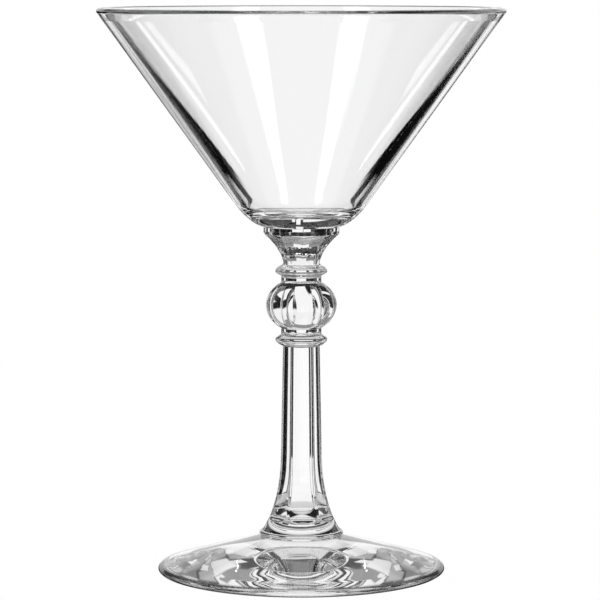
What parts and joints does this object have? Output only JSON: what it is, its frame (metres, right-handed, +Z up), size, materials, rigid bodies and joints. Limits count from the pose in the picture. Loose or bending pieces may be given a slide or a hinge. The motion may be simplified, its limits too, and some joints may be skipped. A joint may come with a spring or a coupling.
{
  "type": "cocktail glass",
  "caption": "Clear glass with a straight conical bowl on a pressed stem of capital, collars, lobed knop and fluted column, standing on a wide cone-shaped foot; holds a chilled drink.",
  "frame": {"origin": "centre of the foot's underside, on the surface that the glass stands on", "axes": "+Z up along the axis of the glass; -Y is the front, the side that the picture shows"},
  "size_m": [0.109, 0.109, 0.152],
  "materials": {
    "blown_glass": "clear, smooth and fire-polished",
    "pressed_glass": "clear, glossy, with the faint waves of a pressing mould"
  },
  "bodies": {
    "root": {"bowl": "blown_glass", "capital": "pressed_glass", "upper_collar": "pressed_glass", "knop": "pressed_glass", "lower_collar": "pressed_glass", "column": "pressed_glass", "base_ring": "pressed_glass", "foot": "pressed_glass"}
  },
  "joints": []
}
